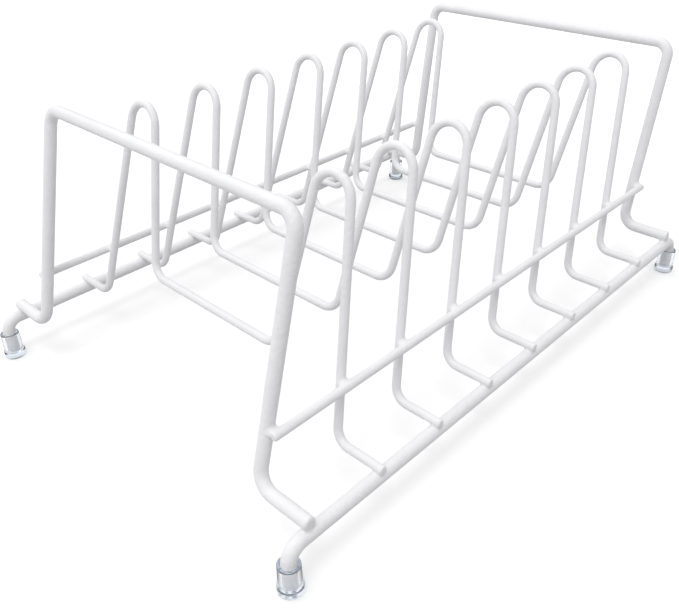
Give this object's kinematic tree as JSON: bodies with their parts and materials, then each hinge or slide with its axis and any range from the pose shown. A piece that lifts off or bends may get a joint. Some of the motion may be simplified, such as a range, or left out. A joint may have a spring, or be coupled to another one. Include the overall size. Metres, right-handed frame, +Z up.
{
  "type": "pot lid rack",
  "caption": "Free-standing rack of white coated wire that holds pot lids on edge between leaning looped dividers, on rails with clear foot caps.",
  "frame": {"origin": "on the table, at the middle of the rectangle of the four foot caps", "axes": "+X along the rack, the way its wires lean; +Y across it, from the front rail to the back rail; +Z up"},
  "size_m": [0.3356, 0.2308, 0.136],
  "materials": {
    "white_coating": "satin",
    "clear_vinyl": "gloss"
  },
  "bodies": {
    "root": {"base_rail_front": "white_coating", "base_rail_back": "white_coating", "end_frame_left": "white_coating", "end_frame_right": "white_coating", "divider_1": "white_coating", "divider_2": "white_coating", "divider_3": "white_coating", "divider_4": "white_coating", "divider_5": "white_coating", "divider_6": "white_coating", "divider_7": "white_coating", "side_rod_front": "white_coating", "side_rod_back": "white_coating", "foot_cap_front_left": "clear_vinyl", "foot_cap_front_right": "clear_vinyl", "foot_cap_back_left": "clear_vinyl", "foot_cap_back_right": "clear_vinyl"}
  },
  "joints": []
}
